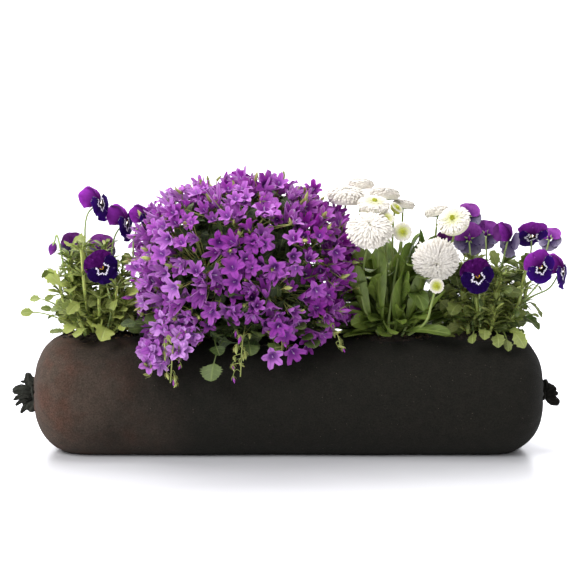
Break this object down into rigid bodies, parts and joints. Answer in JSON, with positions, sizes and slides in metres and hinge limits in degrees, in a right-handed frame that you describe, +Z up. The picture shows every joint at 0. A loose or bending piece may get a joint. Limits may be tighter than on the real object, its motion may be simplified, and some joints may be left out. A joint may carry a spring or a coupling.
{
  "type": "planted fabric sleeve planter",
  "caption": "Soil-filled dark textile tube, knotted at both ends and lying flat, planted through its top with violas, a violet bellflower mound and white double daisies.",
  "frame": {"origin": "on the floor, at the middle of the flat that the sleeve rests on", "axes": "+X along the sleeve to the right as the front is seen, +Y to the back, +Z up"},
  "size_m": [0.5619, 0.1741, 0.273],
  "materials": {
    "sleeve_fabric": "matt dark brown-black felted textile",
    "potting_soil": "matt moist potting mix, with fine roots in the root balls",
    "viola_leaf": "soft, slightly greyish green leaf and stem",
    "campanula_leaf": "matt light green leaf and stem",
    "bellis_leaf": "satin mid green leaf",
    "viola_petal": "velvety deep violet petal with a white-edged black eye",
    "campanula_petal": "matt violet petal",
    "bellis_petal": "matt white ray"
  },
  "bodies": {
    "root": {"fabric_sleeve": "sleeve_fabric", "left_knot": "sleeve_fabric", "right_knot": "sleeve_fabric", "soil_fill": "potting_soil", "viola_left_root_ball": "potting_soil", "campanula_root_ball": "potting_soil", "bellis_root_ball": "potting_soil", "viola_right_root_ball": "potting_soil", "viola_left_foliage": "viola_leaf", "viola_right_foliage": "viola_leaf", "campanula_foliage": "campanula_leaf", "bellis_foliage": "bellis_leaf", "viola_left_flower_1": "viola_petal", "viola_left_flower_2": "viola_petal", "viola_left_flower_3": "viola_petal", "viola_left_flower_4": "viola_petal", "viola_left_flower_5": "viola_petal", "viola_left_flower_6": "viola_petal", "viola_left_flower_7": "viola_petal", "viola_right_flower_1": "viola_petal", "viola_right_flower_2": "viola_petal", "viola_right_flower_3": "viola_petal", "viola_right_flower_4": "viola_petal", "viola_right_flower_5": "viola_petal", "viola_right_flower_6": "viola_petal", "viola_right_flower_7": "viola_petal", "viola_right_flower_8": "viola_petal", "viola_right_flower_9": "viola_petal", "viola_right_flower_10": "viola_petal", "bellis_flower_1": "bellis_petal", "bellis_flower_2": "bellis_petal", "bellis_flower_3": "bellis_petal", "bellis_flower_4": "bellis_petal", "bellis_flower_5": "bellis_petal", "bellis_flower_6": "bellis_petal", "bellis_flower_7": "bellis_petal", "bellis_flower_8": "bellis_petal", "bellis_flower_9": "bellis_petal", "bellis_flower_10": "bellis_petal", "bellis_flower_11": "bellis_petal", "bellis_flower_12": "bellis_petal", "bellis_flower_13": "bellis_petal", "campanula_spray_1": "campanula_petal", "campanula_spray_2": "campanula_petal", "campanula_spray_3": "campanula_petal", "campanula_spray_4": "campanula_petal", "campanula_spray_5": "campanula_petal", "campanula_spray_6": "campanula_petal", "campanula_spray_7": "campanula_petal", "campanula_spray_8": "campanula_petal", "campanula_spray_9": "campanula_petal", "campanula_spray_10": "campanula_petal", "campanula_spray_11": "campanula_petal", "campanula_spray_12": "campanula_petal", "campanula_spray_13": "campanula_petal", "campanula_spray_14": "campanula_petal"}
  },
  "joints": []
}
